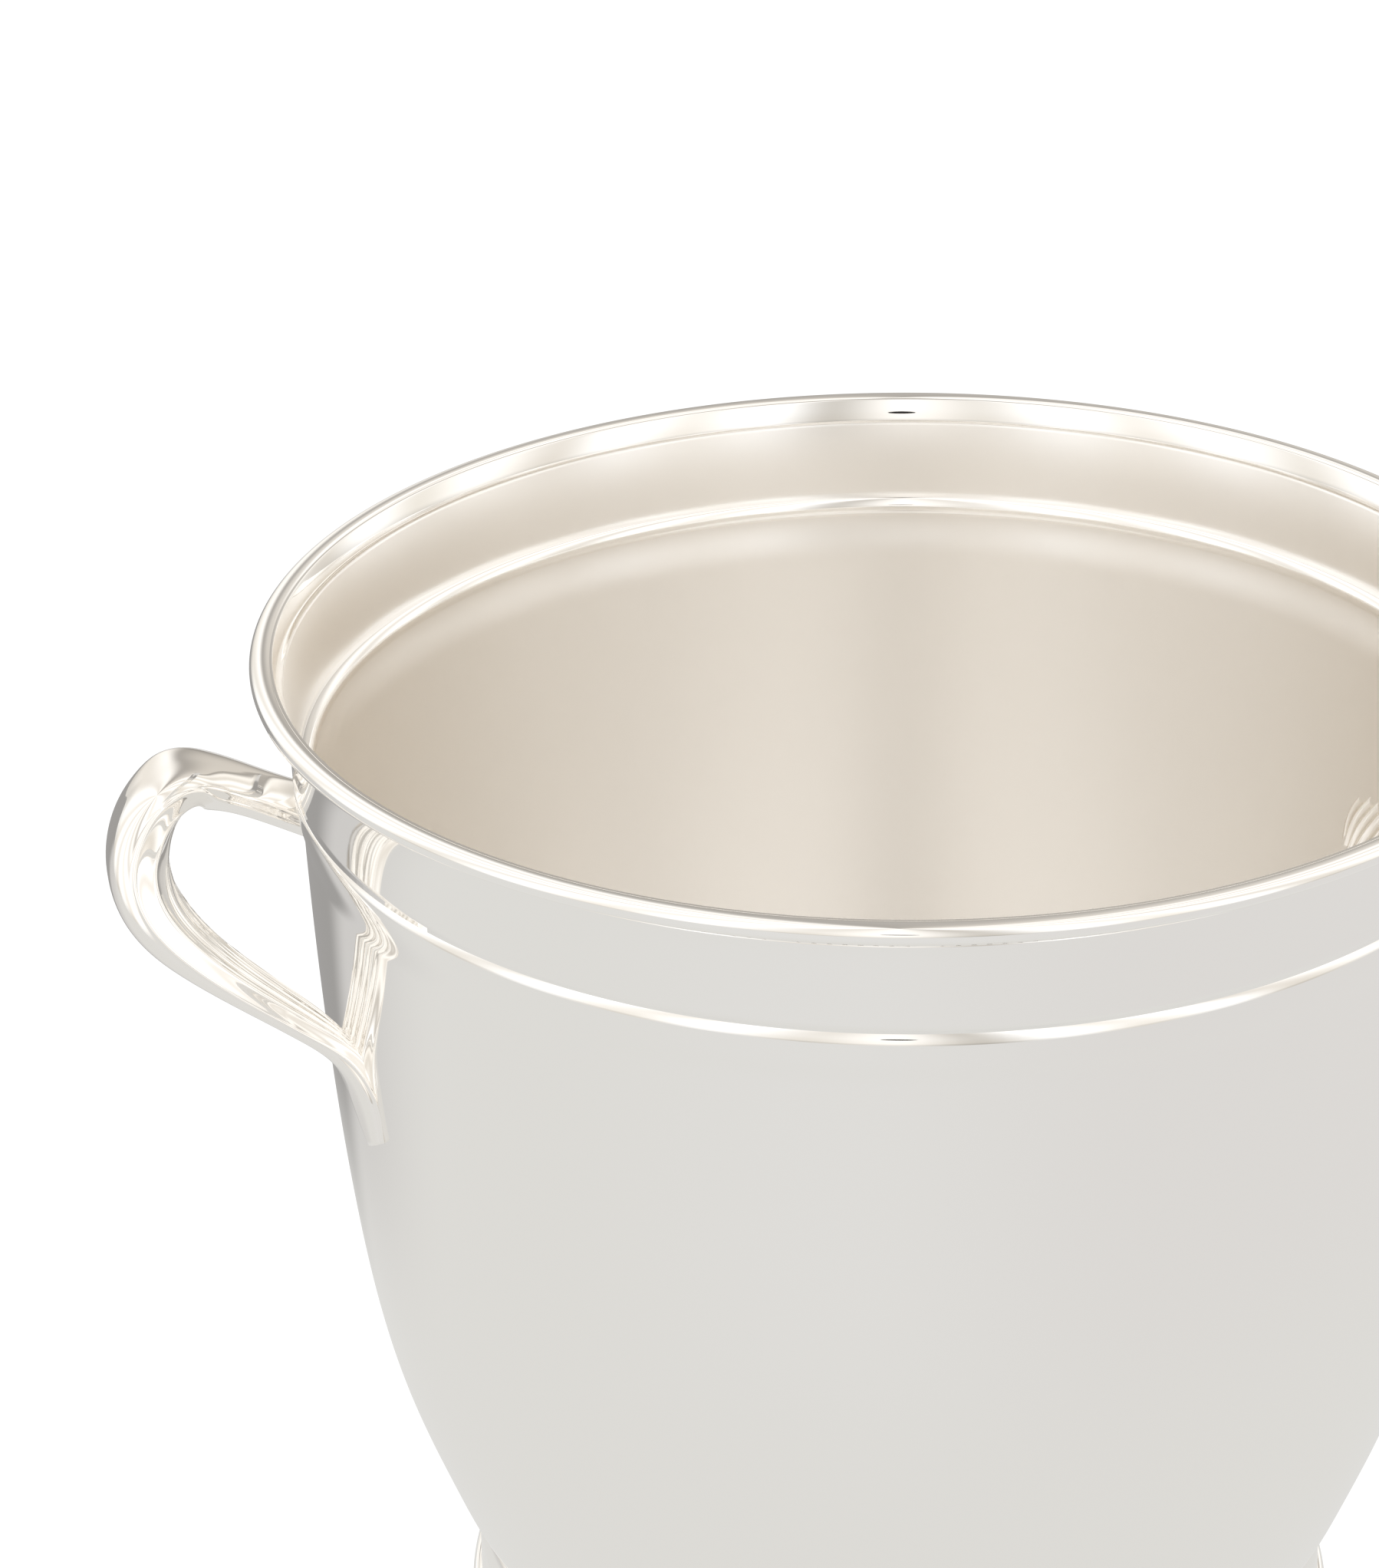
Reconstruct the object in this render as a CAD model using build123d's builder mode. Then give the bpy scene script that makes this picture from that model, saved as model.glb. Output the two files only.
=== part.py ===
# Silver champagne bucket: a spun bowl on a collet foot, with a flared collar, a drawn rim moulding
# and two cast loop handles. Nothing on it moves: every joint is a soldered one.
# The origin is on the table, at the middle of the foot. +Z is up and the handles lie along X.
import os

from build123d import *

os.makedirs("parts", exist_ok=True)

# Overall sizes
height = 192.0  # table to the top of the rim moulding
rim_diameter = 210.0  # across the rim moulding
bowl_diameter = 196.6  # outside of the bowl's wall
foot_diameter = 152.8  # outside of the foot, where it meets the bowl
foot_height = 27.0  # table to where the foot meets the bowl
sheet = 1.2  # thickness of the spun bowl and collar

# Rim moulding
rim_depth = 3.2  # round outer bead, top to bottom
rim_inside = 3.8  # from the edge of the bead in to the inner edge
rim_skirt = 3.2  # the moulding's inner skirt, below the middle of the bead

# Collar, soldered edge to edge on the bowl
collar_drop = 18.0  # middle of the rim bead to the joint of collar and bowl
collar_mouth = 202.0  # outside of the collar, under the rim moulding
collar_lean = 0.3  # sideways per unit of height, where the flare reaches the rim
joint_step = 1.2  # how far the joint stands out from the bowl's wall, each side
joint_flare = 8.2  # height over which the bowl's wall comes out to the joint

# Reinforcing bead inside the joint of bowl and collar
bead_above = 1.5  # how far it reaches above the joint
bead_below = 2.8  # how far it reaches below the joint
bead_stand = 2.5  # how far it stands in from the wall

# Foot
foot_sheet = 1.5
foot_spread = 0.4  # how much wider the foot's outside is at the table, each side
foot_wire_height = 3.4
foot_wire_width = 1.6  # how far the wire stands out from the foot
foot_wire_flat = 0.6  # width of the flat on the wire's top and underside
base_lift = 18.0  # table to the underside of the bowl
base_flat = 120.0  # diameter of the flat part of the bowl's base

# Handles. The loop's reach and drop are those of the middle of the bar.
handle_reach = 29.0  # scale of the loop outwards, from the bowl's wall
handle_drop = 35.4  # joint line to where the bar touches down on the bowl
handle_lead = 20.0  # degrees from the upper root round to the X axis, seen from above
handle_swing = 27.5  # degrees between the upper root and the tip of the leaf
handle_bar = 15.0  # width of the bar at its bend
handle_depth = 8.4  # depth of the bar at its bend, in from outside
handle_round = 0.45  # corner radius of the bar, as a share of its depth

# Heights and radii that follow from the sizes above
rim_level = height - rim_depth / 2
joint_level = rim_level - collar_drop
collar_top = rim_level - rim_skirt
bead_top = joint_level + bead_above
bead_bottom = joint_level - bead_below
wall_top = bead_bottom - joint_flare
bowl_radius = bowl_diameter / 2
joint_radius = bowl_radius + joint_step
rim_radius = rim_diameter / 2
foot_radius = foot_diameter / 2
mouth_radius = collar_mouth / 2
base_radius = base_flat / 2
foot_base_radius = foot_radius + foot_spread
wall_points = 24  # stations along a wall's outside where its inside is set out

# The bowl's outline down to the foot, as shares of the wall's height and of its taper
bowl_shape = [
    (0.0, 0.0),
    (0.231, 0.045),
    (0.528, 0.183),
    (0.752, 0.417),
    (0.900, 0.709),
    (0.975, 0.899),
    (1.0, 1.0),
]

# The handle's bar from root to tip: share of the reach, share of the drop, share of the width,
# share of the depth. The first station and the last two lie in the bowl's wall.
handle_shape = [
    (-0.07, 0.36, 0.80, 0.52),
    (0.18, 0.21, 0.80, 0.50),
    (0.50, 0.04, 0.83, 0.60),
    (0.69, -0.02, 0.88, 0.72),
    (0.87, 0.07, 0.97, 0.88),
    (0.94, 0.26, 1.00, 1.00),
    (0.88, 0.42, 0.98, 0.93),
    (0.70, 0.58, 0.89, 0.74),
    (0.46, 0.73, 0.82, 0.56),
    (0.21, 0.88, 0.75, 0.46),
    (0.03, 1.03, 0.66, 0.43),
    (-0.03, 1.18, 0.78, 0.48),
    (-0.04, 1.39, 0.34, 0.29),
]


def inside_of(curve, wall):
    """The same curve one wall thickness further in. Every curve here is drawn downwards."""
    points = []
    for i in range(wall_points + 1):
        at, run = curve @ (i / wall_points), curve % (i / wall_points)
        points.append(at + Vector(run.Y, -run.X) * wall)
    Spline(*points, tangents=(curve % 0, curve % 1))


def bowl_outline():
    """The outside of the bowl, from its upper edge down to the flat of its base."""
    drop = wall_top - foot_height
    taper = bowl_radius - foot_radius
    Line((joint_radius, joint_level), (joint_radius, bead_bottom))
    return Spline(
        (joint_radius, bead_bottom),
        *[(bowl_radius - taper * inward, wall_top - drop * down) for down, inward in bowl_shape],
        (base_radius, base_lift),
        tangents=((0, -1), (-1, 0)),
    )


def collar_outline():
    """The outside of the collar, from the rim moulding down to the joint."""
    Line((joint_radius, bead_top), (joint_radius, joint_level))
    return Spline(
        (mouth_radius, collar_top),
        (joint_radius, bead_top),
        tangents=((-collar_lean, -1), (0, -1)),
    )


# Bowl, spun from one disc
with BuildPart() as bowl:
    with BuildSketch(Plane.XZ):
        with BuildLine():
            inside_of(bowl_outline(), sheet)
            Polyline(
                (base_radius, base_lift),
                (0, base_lift),
                (0, base_lift + sheet),
                (base_radius, base_lift + sheet),
            )
            Polyline(
                (joint_radius - sheet, bead_bottom),
                (joint_radius - sheet, joint_level),
                (joint_radius, joint_level),
            )
        make_face()
    revolve(axis=Axis.Z)

# Collar, a flared ring that stands on the bowl's upper edge
with BuildPart() as collar:
    with BuildSketch(Plane.XZ):
        with BuildLine():
            flare = collar_outline()
            inside_of(flare, sheet)
            flare_run = flare % 0
            collar_edge = Line(flare @ 0, flare @ 0 + Vector(flare_run.Y, -flare_run.X) * sheet)
            Polyline(
                (joint_radius - sheet, bead_top),
                (joint_radius - sheet, joint_level),
                (joint_radius, joint_level),
            )
        make_face()
    revolve(axis=Axis.Z)

# Rim moulding, drawn wire with a round outer bead and a skirt that sits on the collar
with BuildPart() as rim_moulding:
    inner_edge = (rim_radius - rim_inside, rim_level + rim_depth / 3)
    crown = (rim_radius - rim_inside / 2, rim_level + rim_depth / 2)
    outer_edge = (rim_radius, rim_level)
    belly = (rim_radius - rim_inside / 2, rim_level - rim_depth / 2)
    neck = (mouth_radius + sheet / 4, rim_level - rim_depth / 2)
    with BuildSketch(Plane.XZ):
        with BuildLine():
            Line(collar_edge @ 1, inner_edge)
            ThreePointArc(inner_edge, crown, outer_edge)
            ThreePointArc(outer_edge, belly, neck)
            Polyline(neck, collar_edge @ 0, collar_edge @ 1)
        make_face()
    revolve(axis=Axis.Z)

# Reinforcing bead, a half-round wire soldered inside the joint, over both edges
with BuildPart() as inner_bead:
    wall = joint_radius - sheet
    with BuildSketch(Plane.XZ):
        with BuildLine():
            Line((wall, bead_top), (wall, bead_bottom))
            ThreePointArc(
                (wall, bead_top),
                (wall - bead_stand, (bead_top + bead_bottom) / 2),
                (wall, bead_bottom),
            )
        make_face()
    revolve(axis=Axis.Z)

# Everything inside the outer skin, solid: it trims what is soldered on, so that faces meet exactly
with BuildPart() as skin:
    with BuildSketch(Plane.XZ):
        with BuildLine():
            bowl_outline()
            Polyline((base_radius, base_lift), (0, base_lift), (0, joint_level), (joint_radius, joint_level))
        make_face()
    revolve(axis=Axis.Z)
    with BuildSketch(Plane.XZ):
        with BuildLine():
            collar_outline()
            Polyline((mouth_radius, collar_top), (0, collar_top), (0, joint_level), (joint_radius, joint_level))
        make_face()
    revolve(axis=Axis.Z)

# Collet foot, rolled from strip and spread towards the table
with BuildPart() as foot_ring:
    spread_start = (foot_height + foot_wire_height) / 2
    foot_top = foot_height + foot_sheet
    with BuildSketch(Plane.XZ):
        with BuildLine():
            Line((foot_radius, foot_top), (foot_radius, spread_start))
            spread = Spline(
                (foot_radius, spread_start),
                (foot_base_radius, foot_wire_height),
                tangents=((0, -1), (0, -1)),
            )
            inside_of(spread, foot_sheet)
            Polyline(
                (foot_base_radius, foot_wire_height),
                (foot_base_radius, 0),
                (foot_base_radius - foot_sheet, 0),
                (foot_base_radius - foot_sheet, foot_wire_height),
            )
            Polyline(
                (foot_radius - foot_sheet, spread_start),
                (foot_radius - foot_sheet, foot_top),
                (foot_radius, foot_top),
            )
        make_face()
    revolve(axis=Axis.Z)
    add(skin.part, mode=Mode.SUBTRACT)

# Foot wire, soldered round the foot's lower edge: flat above and below, round outside
with BuildPart() as foot_wire:
    wire_round = foot_base_radius + foot_wire_flat
    with BuildSketch(Plane.XZ):
        with BuildLine():
            Polyline(
                (wire_round, 0),
                (foot_base_radius, 0),
                (foot_base_radius, foot_wire_height),
                (wire_round, foot_wire_height),
            )
            ThreePointArc(
                (wire_round, foot_wire_height),
                (foot_base_radius + foot_wire_width, foot_wire_height / 2),
                (wire_round, 0),
            )
        make_face()
    revolve(axis=Axis.Z)


# Left handle, one casting: a leaning loop that leaves the bowl's wall and ends in a leaf on it
with BuildPart() as handle_left:
    turns = [180 - handle_lead + handle_swing * i / (len(handle_shape) - 1) for i in range(len(handle_shape))]
    points = []
    for turn, (out, down, wide, deep) in zip(turns, handle_shape):
        radius = bowl_radius + handle_reach * out
        level = joint_level - handle_drop * down
        points.append(Vector(radius, 0, level).rotate(Axis.Z, turn))
    with BuildLine(mode=Mode.PRIVATE):
        bar = Spline(*points)
    for point, turn, (out, down, wide, deep) in zip(points, turns, handle_shape):
        sideways = Vector(0, 1, 0).rotate(Axis.Z, turn)
        run = bar % bar.param_at_point(point)
        sideways = (sideways - run * sideways.dot(run)).normalized()
        depth = handle_depth * deep
        with BuildSketch(Plane(origin=point, x_dir=sideways, z_dir=run)):
            RectangleRounded(handle_bar * wide, depth, handle_round * depth)
    loft()
    add(skin.part, mode=Mode.SUBTRACT)

# Right handle, the same casting turned half a turn round the bucket
with BuildPart() as handle_right:
    add(handle_left.part.rotate(Axis.Z, 180))

pieces = {
    "bowl": bowl,
    "collar": collar,
    "rim_moulding": rim_moulding,
    "inner_bead": inner_bead,
    "foot_ring": foot_ring,
    "foot_wire": foot_wire,
    "handle_left": handle_left,
    "handle_right": handle_right,
}
for name, piece in pieces.items():
    piece.part.label = name
    export_step(piece.part, f"parts/{name}.step")
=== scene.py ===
import math

import bmesh
import bpy
import numpy as np
from mathutils import Matrix, Vector


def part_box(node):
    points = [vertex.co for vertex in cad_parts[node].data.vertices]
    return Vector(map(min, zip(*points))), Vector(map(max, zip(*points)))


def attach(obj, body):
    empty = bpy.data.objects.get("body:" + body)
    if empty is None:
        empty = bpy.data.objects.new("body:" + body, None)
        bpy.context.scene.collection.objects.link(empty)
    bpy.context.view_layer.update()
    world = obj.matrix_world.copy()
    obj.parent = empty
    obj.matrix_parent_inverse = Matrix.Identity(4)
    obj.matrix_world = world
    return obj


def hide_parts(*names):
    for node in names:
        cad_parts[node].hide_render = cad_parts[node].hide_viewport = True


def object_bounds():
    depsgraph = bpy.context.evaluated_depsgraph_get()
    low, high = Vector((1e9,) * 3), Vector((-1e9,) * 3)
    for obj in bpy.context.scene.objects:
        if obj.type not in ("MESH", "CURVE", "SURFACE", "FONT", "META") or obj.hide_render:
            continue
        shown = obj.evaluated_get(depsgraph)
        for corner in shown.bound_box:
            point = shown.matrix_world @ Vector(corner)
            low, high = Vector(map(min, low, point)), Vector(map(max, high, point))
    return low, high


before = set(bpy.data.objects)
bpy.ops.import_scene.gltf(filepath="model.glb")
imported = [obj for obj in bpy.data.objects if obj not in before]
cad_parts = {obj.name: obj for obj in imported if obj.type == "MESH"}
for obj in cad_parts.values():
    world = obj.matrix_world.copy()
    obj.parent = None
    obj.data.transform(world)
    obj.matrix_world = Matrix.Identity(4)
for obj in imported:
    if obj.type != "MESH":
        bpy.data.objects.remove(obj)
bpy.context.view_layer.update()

# Camera: above the rim and to the left of the bucket's front, looking down into its mouth. The
# bucket fills the lower right of the view, and its right handle is outside it.
mm = 0.001
table_level, rim_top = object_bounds()[0].z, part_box("rim_moulding")[1].z
bead_up = 1.6 * mm  # half the height of the rim's round bead
rim_middle = rim_top - bead_up

camera_place = (-218.8 * mm, -480.2 * mm, rim_middle + 234.6 * mm)
camera_heading, camera_pitch, camera_roll = [math.radians(angle) for angle in (-20.71, 63.51, -1.41)]
camera_data = bpy.data.cameras.new("camera")
camera_data.sensor_fit = "VERTICAL"
camera_data.sensor_height = 36.0
camera_data.lens = 81.75
camera_data.clip_end = 50.0
camera = bpy.data.objects.new("camera", camera_data)
bpy.context.scene.collection.objects.link(camera)
camera.matrix_world = (
    Matrix.Translation(camera_place)
    @ Matrix.Rotation(camera_heading, 4, "Z")
    @ Matrix.Rotation(camera_pitch, 4, "X")
    @ Matrix.Rotation(camera_roll, 4, "Z")
)
bpy.context.scene.camera = camera


# Studio: a white tent lit evenly from above, with a pale table. Polished silver shows little but
# what stands round it, so the table and the tent have the soft greys that the metal mirrors.
def linear(code):
    """An sRGB colour such as "e7e5e1", as the linear RGBA that a shader takes."""
    channels = [int(code[i:i + 2], 16) / 255 for i in (0, 2, 4)]
    return [c / 12.92 if c <= 0.04045 else ((c + 0.055) / 1.055) ** 2.4 for c in channels] + [1.0]


def node(tree, kind, inputs=(), **settings):
    """Adds a node with its settings. inputs gives each socket, by name or number, a value or a link."""
    made = tree.nodes.new(kind)
    for name, value in settings.items():
        setattr(made, name, value)
    for socket, value in dict(inputs).items():
        if isinstance(value, bpy.types.NodeSocket):
            tree.links.new(value, made.inputs[socket])
        else:
            made.inputs[socket].default_value = value
    return made


def ramp(tree, factor, stops, smooth=True):
    """A colour ramp over factor. stops is a list of (position, sRGB code)."""
    made = node(tree, "ShaderNodeValToRGB", {0: factor})
    made.color_ramp.interpolation = "EASE" if smooth else "LINEAR"
    elements = made.color_ramp.elements
    while len(elements) < len(stops):
        elements.new(0.5)
    for element, (position, code) in zip(elements, stops):
        element.position = position
        element.color = linear(code)
    return made.outputs[0]


def share_of_turn(tree, place):
    """How far round the Z axis place lies, from 0 at -X through -Y, +X and +Y to 1 at -X again."""
    parts = node(tree, "ShaderNodeSeparateXYZ", {0: place}).outputs
    angle = node(tree, "ShaderNodeMath", {0: parts["Y"], 1: parts["X"]}, operation="ARCTAN2").outputs[0]
    return node(tree, "ShaderNodeMapRange", {0: angle, 1: -math.pi, 2: math.pi}).outputs[0]


scene = bpy.context.scene
scene.view_settings.view_transform = "Standard"
scene.view_settings.look = "None"
# Light bounces many times between the walls inside the bucket before it comes out.
scene.cycles.max_bounces = 20
scene.cycles.glossy_bounces = 20

world = bpy.data.worlds.new("tent")
scene.world = world
world.use_nodes = True
tree = world.node_tree
tree.nodes.clear()
direction = node(tree, "ShaderNodeTexCoord").outputs["Generated"]
rise = node(tree, "ShaderNodeSeparateXYZ", {0: direction}).outputs["Z"]
# The tent is greyest near the ground and brightest half way up.
height = ramp(
    tree,
    node(tree, "ShaderNodeMapRange", {0: rise, 1: -0.2, 2: 1.0}).outputs[0],
    [(0.0, "c9c8c6"), (0.15, "dcdbd9"), (0.30, "f8f7f5"), (0.60, "ffffff"), (1.0, "fbfaf9")],
)
# Round the bucket, panels of cloth alternate with their darker seams.
panels = ramp(
    tree,
    share_of_turn(tree, direction),
    [
        (0.00, "ffffff"), (0.05, "e6e2dc"), (0.09, "ffffff"), (0.14, "dad6d0"), (0.18, "f4f1ed"),
        (0.22, "bfbbb5"), (0.26, "ffffff"), (0.30, "e6e2dc"), (0.34, "ffffff"), (0.38, "d6d1ca"),
        (0.43, "fbf9f6"), (0.47, "dedad3"), (0.51, "ffffff"), (0.55, "d8d3cc"), (0.59, "f6f3ef"),
        (0.64, "c6c1ba"), (0.69, "a09c97"), (0.73, "f2efeb"), (0.77, "dcd8d2"), (0.81, "ffffff"),
        (0.86, "e2ded8"), (0.90, "ffffff"), (0.95, "dedad4"), (1.00, "ffffff"),
    ],
)
lit = node(
    tree, "ShaderNodeMix", {0: 1.0, 6: height, 7: panels}, data_type="RGBA", blend_type="MULTIPLY"
).outputs[2]
seen = node(tree, "ShaderNodeLightPath").outputs["Is Camera Ray"]
backdrop = node(tree, "ShaderNodeBackground", {"Color": linear("ffffff"), "Strength": 1.1})
tent = node(tree, "ShaderNodeBackground", {"Color": lit, "Strength": 1.3})
mixed = node(tree, "ShaderNodeMixShader", {0: seen, 1: tent.outputs[0], 2: backdrop.outputs[0]})
node(tree, "ShaderNodeOutputWorld", {"Surface": mixed.outputs[0]})

table_size, table_gap = 6.0, 0.3 * mm
bpy.ops.mesh.primitive_plane_add(size=table_size, location=(0, 0, table_level - table_gap))
table = bpy.context.object
table.name = "table"
table_paint = bpy.data.materials.new("table_paper")
table_paint.use_nodes = True
tree = table_paint.node_tree
tree.nodes.clear()
place = node(tree, "ShaderNodeTexCoord").outputs["Object"]
far_off = node(tree, "ShaderNodeVectorMath", {0: place}, operation="LENGTH").outputs["Value"]
# Behind the bucket, a band of the table's mirrored tone is darker.
table_tone = ramp(
    tree,
    share_of_turn(tree, place),
    [
        (0.00, "e0dfdc"), (0.16, "e2e1df"), (0.30, "dfdddb"), (0.60, "e0dedc"), (0.735, "dcdad8"),
        (0.76, "a3a19f"), (0.83, "a19f9d"), (0.86, "d0cecc"), (0.95, "e0dfdc"), (1.00, "e0dfdc"),
    ],
)
# The paper is one even tone under the bucket, and takes on the tones round it further out.
paper_near, paper_far = 130 * mm, 260 * mm
further_out = ramp(
    tree,
    node(tree, "ShaderNodeMapRange", {0: far_off, 1: paper_near, 2: paper_far}).outputs[0],
    [(0.0, "000000"), (1.0, "ffffff")],
)
table_tone = node(
    tree, "ShaderNodeMix", {0: further_out, 6: linear("e0dfdc"), 7: table_tone}, data_type="RGBA"
).outputs[2]
# Looked at straight, the table is white with a faint shadow. The metal mirrors its tone.
seen = node(tree, "ShaderNodeLightPath").outputs["Is Camera Ray"]
mirrored = node(tree, "ShaderNodeEmission", {"Color": table_tone, "Strength": 1.0})
shaded = node(tree, "ShaderNodeBsdfDiffuse", {"Color": linear("f2f1ef")})
white = node(tree, "ShaderNodeEmission", {"Color": linear("ffffff"), "Strength": 1.1})
looked_at = node(tree, "ShaderNodeMixShader", {0: 0.93, 1: shaded.outputs[0], 2: white.outputs[0]})
surface = node(tree, "ShaderNodeMixShader", {0: seen, 1: mirrored.outputs[0], 2: looked_at.outputs[0]})
node(tree, "ShaderNodeOutputMaterial", {"Surface": surface.outputs[0]})
table.data.materials.append(table_paint)


# The dark front of the lens, just behind the camera. The rim and the beads mirror it as small dashes.
lens_radius, lens_behind = 28 * mm, 10 * mm
bpy.ops.mesh.primitive_circle_add(fill_type="NGON", radius=lens_radius)
lens_front = bpy.context.object
lens_front.name = "lens_front"
lens_front.matrix_world = camera.matrix_world @ Matrix.Translation((0, 0, lens_behind))
lens_front.visible_camera = False
lens_black = bpy.data.materials.new("lens_black")
lens_black.use_nodes = True
lens_black.node_tree.nodes["Principled BSDF"].inputs["Base Color"].default_value = linear("1c1c1c")
lens_front.data.materials.append(lens_black)


# Bowl: the deep tapering body, spun from one disc of silver. Its outside is polished to a mirror
# and its inside is left satin from the lathe, with hairlines that run round it.
hairline_depth = 0.02 * mm


def polished_silver(name, tint, roughness, scratch_bump):
    """Silver plate, buffed: nearly a mirror, with the haze and fine hairlines that wiping leaves."""
    material = bpy.data.materials.new(name)
    material.use_nodes = True
    tree = material.node_tree
    tree.nodes.clear()
    place = node(tree, "ShaderNodeTexCoord").outputs["Object"]
    # The scale squeezes the noise along the axis, into lines that run round it.
    stretched = node(tree, "ShaderNodeMapping", {0: place, "Scale": (30.0, 30.0, 900.0)}).outputs[0]
    haze = node(tree, "ShaderNodeTexNoise", {"Vector": place, "Scale": 35.0, "Detail": 3.0}).outputs[0]
    hairlines = node(
        tree, "ShaderNodeTexNoise", {"Vector": stretched, "Scale": 1.0, "Detail": 4.0}
    ).outputs[0]
    gloss = node(
        tree, "ShaderNodeMapRange", {0: haze, 1: 0.3, 2: 0.7, 3: roughness * 0.7, 4: roughness * 1.4}
    ).outputs[0]
    bump = node(
        tree, "ShaderNodeBump", {"Height": hairlines, "Strength": scratch_bump, "Distance": hairline_depth}
    )
    shader = node(
        tree,
        "ShaderNodeBsdfPrincipled",
        {"Base Color": linear(tint), "Metallic": 1.0, "Roughness": gloss, "Normal": bump.outputs[0]},
    )
    node(tree, "ShaderNodeOutputMaterial", {"Surface": shader.outputs[0]})
    return material


def satin_silver(name, tint, roughness):
    """Silver as the lathe and a fine abrasive leave it: hairlines round the axis draw light out upright."""
    material = bpy.data.materials.new(name)
    material.use_nodes = True
    tree = material.node_tree
    tree.nodes.clear()
    place = node(tree, "ShaderNodeTexCoord").outputs["Object"]
    stretched = node(tree, "ShaderNodeMapping", {0: place, "Scale": (40.0, 40.0, 2500.0)}).outputs[0]
    lines = node(tree, "ShaderNodeTexNoise", {"Vector": stretched, "Scale": 1.0, "Detail": 5.0}).outputs[0]
    grain = node(tree, "ShaderNodeTexNoise", {"Vector": place, "Scale": 2500.0, "Detail": 2.0}).outputs[0]
    relief = node(tree, "ShaderNodeMath", {0: lines, 1: grain}, operation="ADD").outputs[0]
    bump = node(tree, "ShaderNodeBump", {"Height": relief, "Strength": 0.25, "Distance": hairline_depth})
    along = node(tree, "ShaderNodeTangent", direction_type="RADIAL", axis="Z").outputs[0]
    shader = node(
        tree,
        "ShaderNodeBsdfPrincipled",
        {
            "Base Color": linear(tint),
            "Metallic": 1.0,
            "Roughness": roughness,
            "Anisotropic": 0.75,
            "Anisotropic Rotation": 0.25,
            "Normal": bump.outputs[0],
            "Tangent": along,
        },
    )
    node(tree, "ShaderNodeOutputMaterial", {"Surface": shader.outputs[0]})
    return material


def smooth_line(points, first_run, last_run, steps):
    """A line through points with no jump in its curvature, which polished metal would show.

    first_run and last_run are its directions at the ends, and steps the points to a span.
    """
    points = np.array(points, float)
    spans = np.linalg.norm(np.diff(points, axis=0), axis=1)
    count = len(points)
    weights, sums = np.zeros((count, count)), np.zeros(points.shape)
    weights[0, 0] = weights[-1, -1] = 1.0
    sums[0] = np.array(first_run, float) / np.linalg.norm(first_run)
    sums[-1] = np.array(last_run, float) / np.linalg.norm(last_run)
    for i in range(1, count - 1):
        before, after = spans[i - 1], spans[i]
        weights[i, i - 1:i + 2] = after, 2 * (before + after), before
        sums[i] = 3 * (
            after * (points[i] - points[i - 1]) / before + before * (points[i + 1] - points[i]) / after
        )
    runs = np.linalg.solve(weights, sums)
    line = []
    for i in range(count - 1):
        for t in np.arange(steps) / steps:
            line.append(
                (1 + 2 * t) * (1 - t) ** 2 * points[i]
                + t * t * (3 - 2 * t) * points[i + 1]
                + spans[i] * (t * (1 - t) ** 2 * runs[i] + t * t * (t - 1) * runs[i + 1])
            )
    line.append(points[-1])
    return line


def inside_of(line, wall):
    """The inside of a wall whose outside is line, drawn back the other way."""
    runs = np.gradient(np.array(line), axis=0)
    runs /= np.linalg.norm(runs, axis=1)[:, None]
    return [p + wall * np.array((run[1], -run[0])) for p, run in zip(line, runs)][::-1]


def arc(middle, across, up, start, end, steps):
    """Part of an ellipse about middle, from one angle to another in degrees."""
    angles = np.radians(np.linspace(start, end, steps + 1))
    return [np.array((middle[0] + across * math.cos(a), middle[1] + up * math.sin(a))) for a in angles]


# The lathe: every ring of the piece is one point of its outline, carried round the axis.
lathe = bpy.data.node_groups.new("lathe", "GeometryNodeTree")
for socket_name, socket_kind in (
    ("Outline", "NodeSocketGeometry"),
    ("Outline points", "NodeSocketInt"),
    ("Steps round", "NodeSocketInt"),
    ("Outside finish", "NodeSocketMaterial"),
    ("Inside finish", "NodeSocketMaterial"),
):
    lathe.interface.new_socket(socket_name, in_out="INPUT", socket_type=socket_kind)
lathe.interface.new_socket("Piece", in_out="OUTPUT", socket_type="NodeSocketGeometry")
given = node(lathe, "NodeGroupInput").outputs
stations = node(lathe, "ShaderNodeMath", {0: given["Steps round"], 1: 1.0}, operation="ADD").outputs[0]
grid = node(
    lathe, "GeometryNodeMeshGrid", {"Vertices X": given["Outline points"], "Vertices Y": stations}
).outputs["Mesh"]
# The grid numbers its points ring by ring. Half a point is added so that rounding can't lose a ring.
index = node(lathe, "GeometryNodeInputIndex").outputs[0]
ring = node(
    lathe,
    "ShaderNodeMath",
    {0: node(lathe, "ShaderNodeMath", {0: index, 1: 0.5}, operation="ADD").outputs[0], 1: stations},
    operation="DIVIDE",
).outputs[0]
ring = node(lathe, "ShaderNodeMath", {0: ring}, operation="FLOOR").outputs[0]
step = node(lathe, "ShaderNodeMath", {0: index, 1: stations}, operation="MODULO").outputs[0]
point = node(
    lathe,
    "GeometryNodeSampleIndex",
    {
        "Geometry": given["Outline"],
        "Value": node(lathe, "GeometryNodeInputPosition").outputs[0],
        "Index": ring,
    },
    data_type="FLOAT_VECTOR",
    domain="POINT",
).outputs[0]
share = node(
    lathe, "ShaderNodeMath", {0: step, 1: given["Steps round"]}, operation="DIVIDE"
).outputs[0]
angle = node(lathe, "ShaderNodeMath", {0: share, 1: math.tau}, operation="MULTIPLY").outputs[0]
carried = node(
    lathe,
    "ShaderNodeVectorRotate",
    {"Vector": point, "Axis": (0.0, 0.0, 1.0), "Angle": angle},
    rotation_type="AXIS_ANGLE",
).outputs[0]
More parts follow.
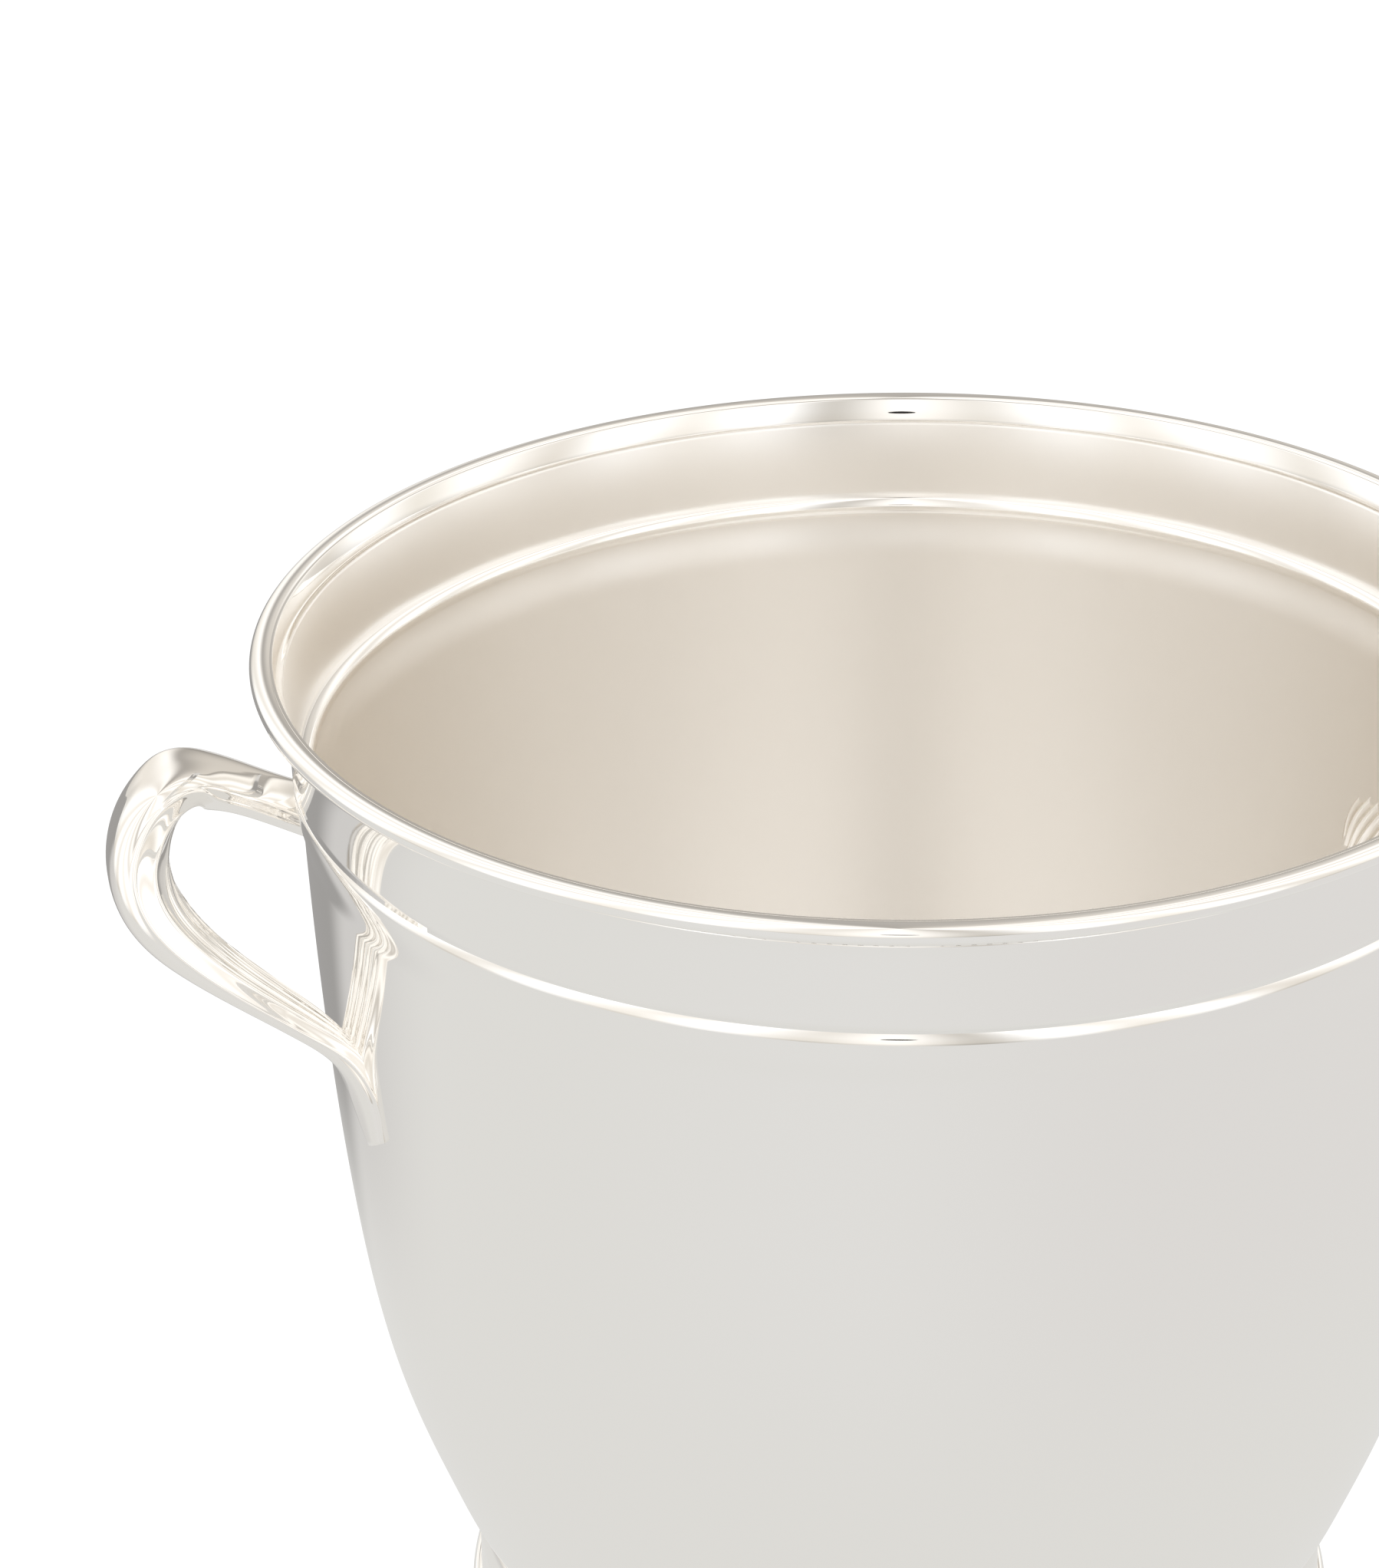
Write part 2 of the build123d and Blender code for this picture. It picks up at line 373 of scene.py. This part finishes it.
turned_mesh = node(lathe, "GeometryNodeSetPosition", {"Geometry": grid, "Position": carried}).outputs[0]
# The first and last point of a ring fall together, and so do a ring's points on the axis.
weld_distance = 0.002 * mm
turned_mesh = node(
    lathe, "GeometryNodeMergeByDistance", {"Geometry": turned_mesh, "Distance": weld_distance}
).outputs[0]
turned_mesh = node(lathe, "GeometryNodeSetShadeSmooth", {"Geometry": turned_mesh}).outputs[0]
# A face is on the inside when it looks more towards the axis and upwards than outwards and down.
from_axis = node(
    lathe,
    "ShaderNodeVectorMath",
    {0: node(lathe, "GeometryNodeInputPosition").outputs[0], 1: (1.0, 1.0, 0.0)},
    operation="MULTIPLY",
).outputs[0]
from_axis = node(lathe, "ShaderNodeVectorMath", {0: from_axis}, operation="NORMALIZE").outputs[0]
out_and_down = node(
    lathe, "ShaderNodeVectorMath", {0: from_axis, 1: (0.0, 0.0, 1.0)}, operation="SUBTRACT"
).outputs[0]
facing = node(
    lathe,
    "ShaderNodeVectorMath",
    {0: node(lathe, "GeometryNodeInputNormal").outputs[0], 1: out_and_down},
    operation="DOT_PRODUCT",
).outputs["Value"]
is_inside = node(lathe, "FunctionNodeCompare", {0: facing, 1: 0.0}, operation="LESS_THAN").outputs[0]
turned_mesh = node(lathe, "GeometryNodeRealizeInstances", {0: turned_mesh}).outputs[0]
turned_mesh = node(
    lathe, "GeometryNodeSetMaterial", {"Geometry": turned_mesh, "Material": given["Outside finish"]}
).outputs[0]
turned_mesh = node(
    lathe,
    "GeometryNodeSetMaterial",
    {"Geometry": turned_mesh, "Selection": is_inside, "Material": given["Inside finish"]},
).outputs[0]
node(lathe, "NodeGroupOutput", {0: turned_mesh})


def turn_on_lathe(name, outline, outside, inside, steps_round=288):
    """A piece turned from outline, a closed list of (radius, height) that goes down its outside."""
    flat = bpy.data.meshes.new(name + "_outline")
    closed = list(outline) + [outline[0]]
    flat.from_pydata([(p[0], 0.0, p[1]) for p in closed], [(i, i + 1) for i in range(len(closed) - 1)], [])
    blank = bpy.data.objects.new(name + "_outline", flat)
    scene.collection.objects.link(blank)
    turning = blank.modifiers.new("lathe", "NODES")
    turning.node_group = lathe
    wanted = {
        "Outline points": len(closed),
        "Steps round": steps_round,
        "Outside finish": outside,
        "Inside finish": inside,
    }
    for socket in lathe.interface.items_tree:
        if socket.name in wanted:
            turning[socket.identifier] = wanted[socket.name]
    made = bpy.data.meshes.new_from_object(blank.evaluated_get(bpy.context.evaluated_depsgraph_get()))
    blank.modifiers.remove(turning)
    bpy.data.objects.remove(blank)
    piece = bpy.data.objects.new(name, made)
    scene.collection.objects.link(piece)
    return piece


sheet = 1.2 * mm
bowl_radius, joint_radius, foot_radius = 98.3 * mm, 99.5 * mm, 76.4 * mm
bowl_low, bowl_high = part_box("bowl")
joint_level, foot_joint = bowl_high.z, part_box("foot_ring")[1].z
bead_low, bead_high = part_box("inner_bead")[0].z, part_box("inner_bead")[1].z
joint_flare = 8.2 * mm  # height over which the wall comes out to the joint
wall_top = bead_low - joint_flare
bowl_drop, bowl_taper = wall_top - foot_joint, bowl_radius - foot_radius
# The bowl's outline down to the foot, as shares of the wall's height and of its taper
bowl_shape = [
    (0.0, 0.0), (0.231, 0.045), (0.528, 0.183), (0.752, 0.417), (0.900, 0.709), (0.975, 0.899), (1.0, 1.0)
]
base_radius, base_half_way = 60 * mm, 30 * mm
base_under, base_over = bowl_low.z, bowl_low.z + sheet

mirror_silver = polished_silver("polished_silver", "fbfaf8", roughness=0.035, scratch_bump=0.01)
satin_inside = satin_silver("satin_silver", "fefcf9", roughness=0.30)

# The wall swells out to the joint in one S-curve, apart from the long curve of the bowl below it.
wall_run = (-0.015, -1)
swelling = [(joint_radius, bead_low), (bowl_radius, wall_top)]
outside = smooth_line(swelling, (0, -1), wall_run, steps=24)[:-1]
outside += smooth_line(
    [(bowl_radius - bowl_taper * inward, wall_top - bowl_drop * down) for down, inward in bowl_shape]
    + [(base_radius, base_under)],
    wall_run,
    (-1, 0),
    steps=16,
)
bowl_outline = (
    [(joint_radius, joint_level)]
    + outside
    + [(base_half_way, base_under), (0.0, base_under), (0.0, base_over), (base_half_way, base_over)]
    + inside_of(outside, sheet)
    + [(joint_radius - sheet, joint_level)]
)
bowl = turn_on_lathe("spun_bowl", bowl_outline, mirror_silver, satin_inside)
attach(bowl, "root")
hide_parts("bowl")


# Collar: a flared ring of the same sheet, soldered edge to edge on the bowl. The joint is filed and
# polished until only the soft swelling of the wall shows it. Polished outside, satin inside.
collar_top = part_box("rim_moulding")[0].z
mouth_radius = 101.0 * mm
collar_run = (-0.3, -1)  # the flare's direction where it reaches the rim, going down

flare = smooth_line(
    [(mouth_radius, collar_top), (joint_radius, bead_high)], collar_run, (0, -1), steps=24
)
collar_outline = (
    flare
    + [(joint_radius, joint_level), (joint_radius - sheet, joint_level)]
    + inside_of(flare, sheet)
)
collar = turn_on_lathe("flared_collar", collar_outline, mirror_silver, satin_inside)
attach(collar, "root")
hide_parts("collar")


# Rim moulding: drawn silver wire, a round bead outside and a short bright skirt inside. It is bent
# to a ring and soldered on the collar's upper edge, and it is polished all over.
rim_radius = 105 * mm
bead_across = 1.9 * mm  # half the width of the rim's round bead
bead_middle = (rim_radius - bead_across, rim_middle)
skirt_edge = (101.25 * mm, rim_middle + 1.0 * mm)
skirt_corner = (101.33 * mm, rim_middle + 1.12 * mm)
skirt_end = (mouth_radius - sheet, collar_top + 0.3 * mm)
neck = (101.6 * mm, rim_middle - 1.7 * mm)
rim_steps_round = 320

bright_silver = polished_silver("bright_silver", "fdfcfa", roughness=0.03, scratch_bump=0.005)

rim_outline = (
    [skirt_edge, skirt_corner]
    + arc(bead_middle, bead_across, bead_up, start=140, end=-100, steps=40)
    + [neck, (mouth_radius, collar_top)]
    + smooth_line([skirt_end, skirt_edge], (0.12, 1), (0.5, 1), steps=10)[:-1]
)
rim = turn_on_lathe("rim_moulding_wire", rim_outline, bright_silver, bright_silver, rim_steps_round)
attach(rim, "root")
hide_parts("rim_moulding")


# Inner bead: a half-round wire soldered inside over the joint of collar and bowl, to stiffen it.
# It is polished bright between the two satin walls.
wall_radius = joint_radius - sheet
bead_stand = 2.5 * mm  # how far it stands in from the wall
inner_bead_outline = arc(
    (wall_radius, (bead_low + bead_high) / 2),
    bead_stand,
    (bead_high - bead_low) / 2,
    start=270,
    end=90,
    steps=24,
)
inner_bead = turn_on_lathe("inner_bead_wire", inner_bead_outline, bright_silver, bright_silver)
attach(inner_bead, "root")
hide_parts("inner_bead")


# Foot: a collet rolled from strip and soldered under the bowl, spreading a little to the table,
# with a round-edged wire soldered round its lower edge to stiffen it.
foot_sheet = 1.5 * mm
foot_base_radius = 76.8 * mm
wire_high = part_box("foot_wire")[1].z
wire_flat, wire_round = 0.6 * mm, 1.0 * mm  # width of the wire's flat and of its round edge
spread_start = (foot_joint + wire_high) / 2

foot_side = [(foot_radius, foot_joint)] + smooth_line(
    [(foot_radius, spread_start), (foot_base_radius, wire_high)], (0, -1), (0, -1), steps=16
)
foot_outline = foot_side + [(foot_base_radius, table_level), (foot_base_radius - foot_sheet, table_level)]
foot_outline += inside_of(foot_side, foot_sheet)
foot = turn_on_lathe("collet_foot", foot_outline, mirror_silver, mirror_silver)
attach(foot, "root")
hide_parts("foot_ring")

wire_half = (wire_high - table_level) / 2
wire_outline = (
    [(foot_base_radius, wire_high)]
    + arc(
        (foot_base_radius + wire_flat, table_level + wire_half),
        wire_round,
        wire_half,
        start=90,
        end=-90,
        steps=16,
    )
    + [(foot_base_radius, table_level)]
)
foot_wire = turn_on_lathe("foot_wire_ring", wire_outline, bright_silver, bright_silver)
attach(foot_wire, "root")
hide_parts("foot_wire")


# Handles: two equal castings in silver, each a loop of reeded bar. The bar is broad and plain along
# its back, with fine reeds on its flanks and inside, and it ends on the bowl in a small leaf.
plain_back, reeds_each_side, reed_depth = 0.50, 3.0, 0.55 * mm
squareness = 2.7  # 2 makes the bar's section an ellipse, and more makes it squarer
groove_power = 0.6  # below 1, the grooves between the reeds are narrow
edge_width = 0.012  # of the fine line along each edge of the back, as a share of the way to the inside
section_points, measured_points = 144, 721  # round a section: kept, and used to measure its length
bar_wide, bar_deep = 15.5 * mm, 9.4 * mm
handle_reach, handle_drop = 29.0 * mm, 35.4 * mm
# In degrees seen from above: from the upper root to the X axis, and from the upper root to the leaf's tip
handle_lead, handle_swing = 20.0, 27.5
station_steps = 12


def reeded_section(wide, deep):
    """The bar's section as (sideways, outward), with its reeds."""
    angles = np.linspace(0, math.tau, measured_points)
    power = 2 / squareness
    sine, cosine = np.sin(angles), np.cos(angles)
    sideways = wide / 2 * np.sign(sine) * np.abs(sine) ** power
    outward = deep / 2 * np.sign(cosine) * np.abs(cosine) ** power
    run = np.r_[0, np.cumsum(np.hypot(np.diff(sideways), np.diff(outward)))]
    share = np.arange(section_points) / section_points
    base = np.stack([np.interp(share * run[-1], run, line) for line in (sideways, outward)], -1)
    # 0 along the middle of the back, 1 along the middle of the inside
    from_back = 1 - np.abs(2 * share - 1)
    reed = np.clip((from_back - plain_back) / (1 - plain_back), 0, 1) * reeds_each_side
    groove = np.where(from_back < plain_back, 0.0, 1 - np.abs(np.sin(math.pi * reed)) ** groove_power)
    edge = np.exp(-((from_back - plain_back) / edge_width) ** 2)
    heading = np.roll(base, -1, axis=0) - np.roll(base, 1, axis=0)
    heading /= np.linalg.norm(heading, axis=1)[:, None]
    normal = np.stack([-heading[:, 1], heading[:, 0]], -1)
    return base + normal * (np.maximum(groove, edge) * reed_depth)[:, None]


# The middle of the bar: share of the reach, share of the drop, share of the width, share of the depth
bar_stations = [
    (-0.07, 0.36, 0.80, 0.52),
    (0.18, 0.21, 0.80, 0.50),
    (0.50, 0.04, 0.83, 0.60),
    (0.69, -0.02, 0.88, 0.72),
    (0.87, 0.07, 0.97, 0.88),
    (0.94, 0.26, 1.00, 1.00),
    (0.88, 0.42, 0.98, 0.93),
    (0.70, 0.58, 0.89, 0.74),
    (0.46, 0.73, 0.82, 0.56),
    (0.21, 0.88, 0.75, 0.46),
    (0.03, 1.03, 0.66, 0.43),
    (-0.03, 1.18, 0.62, 0.42),
    (-0.04, 1.39, 0.30, 0.29),
]
cast_silver = polished_silver("cast_silver", "fcfaf7", roughness=0.045, scratch_bump=0.01)


def cast_handle(name, half_turn):
    """One handle as a closed mesh, turned round the bucket by half_turn degrees."""
    line = []
    for i, (out, down, wide, deep) in enumerate(bar_stations):
        turn = math.radians(180 - handle_lead + handle_swing * i / (len(bar_stations) - 1) + half_turn)
        radius, level = bowl_radius + handle_reach * out, joint_level - handle_drop * down
        place = (radius * math.cos(turn), radius * math.sin(turn), level)
        line.append(place + (bar_wide * wide, bar_deep * deep))
    line = np.array(line)
    line = np.array(smooth_line(line, line[1] - line[0], line[-1] - line[-2], station_steps))
    runs = np.gradient(line[:, :3], axis=0)
    verts, faces, ring_size = [], [], section_points
    for (x, y, z, wide, deep), run in zip(line, runs):
        run = Vector(run).normalized()
        sideways = Vector((-y, x, 0)).normalized()
        sideways = (sideways - run * sideways.dot(run)).normalized()
        outward = run.cross(sideways)
        for across, out in reeded_section(wide, deep):
            verts.append(Vector((x, y, z)) + sideways * across + outward * out)
    for ring in range(len(line) - 1):
        for i in range(ring_size):
            a, b = ring * ring_size + i, ring * ring_size + (i + 1) % ring_size
            faces.append((a, b, b + ring_size, a + ring_size))
    faces.append(tuple(range(ring_size))[::-1])
    faces.append(tuple(range((len(line) - 1) * ring_size, len(line) * ring_size)))
    mesh = bpy.data.meshes.new(name)
    mesh.from_pydata(verts, [], faces)
    mesh.validate()
    work = bmesh.new()
    work.from_mesh(mesh)
    bmesh.ops.recalc_face_normals(work, faces=work.faces)
    work.to_mesh(mesh)
    work.free()
    mesh.polygons.foreach_set("use_smooth", [True] * len(mesh.polygons))
    mesh.materials.append(cast_silver)
    handle = bpy.data.objects.new(name, mesh)
    scene.collection.objects.link(handle)
    return handle


for side, half_turn in (("left", 0), ("right", 180)):
    handle = cast_handle("cast_handle_" + side, half_turn)
    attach(handle, "root")
    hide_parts("handle_" + side)
